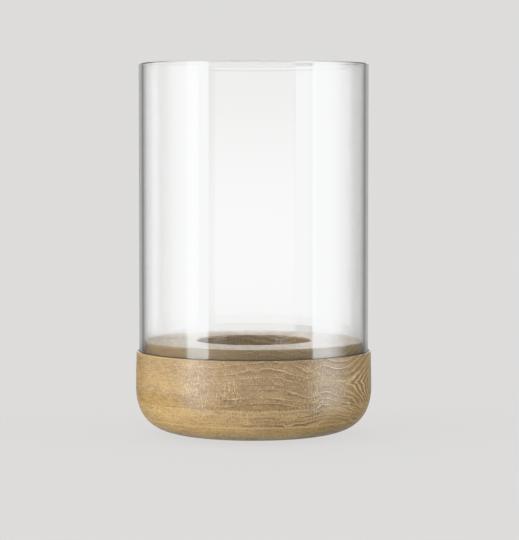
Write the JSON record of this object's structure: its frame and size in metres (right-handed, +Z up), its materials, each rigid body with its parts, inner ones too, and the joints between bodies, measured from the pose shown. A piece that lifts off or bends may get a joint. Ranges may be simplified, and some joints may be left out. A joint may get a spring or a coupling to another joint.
{
  "type": "hurricane candle holder",
  "caption": "Clear glass tube standing in a ring groove of a turned oak base, with a raised middle and a round recess for a pillar candle.",
  "frame": {"origin": "middle of the footprint, on the surface that the felt pads stand on", "axes": "+Z up the axis of the turned base and the glass tube; the oak's grain runs along Y"},
  "size_m": [0.165, 0.165, 0.259],
  "materials": {
    "oak_upper": "satin oiled oak",
    "oak_lower": "satin oiled oak",
    "clear_glass": "clear, fire-polished rims",
    "brushed_steel": "brushed",
    "felt": "pressed felt"
  },
  "bodies": {
    "base": {"base_upper_board": "oak_upper", "base_lower_board": "oak_lower", "felt_pad_1": "felt", "felt_pad_2": "felt", "felt_pad_3": "felt", "felt_pad_4": "felt"},
    "glass": {"glass_cylinder": "clear_glass"},
    "plate": {"candle_plate": "brushed_steel"}
  },
  "joints": [
    {"name": "glass_lift", "type": "slide", "parent": "base", "child": "glass", "axis": [0, 0, 1], "range_m": [0, 0.12]},
    {"name": "candle_plate_lift", "type": "slide", "parent": "base", "child": "plate", "axis": [0, 0, 1], "range_m": [0, 0.04]}
  ]
}
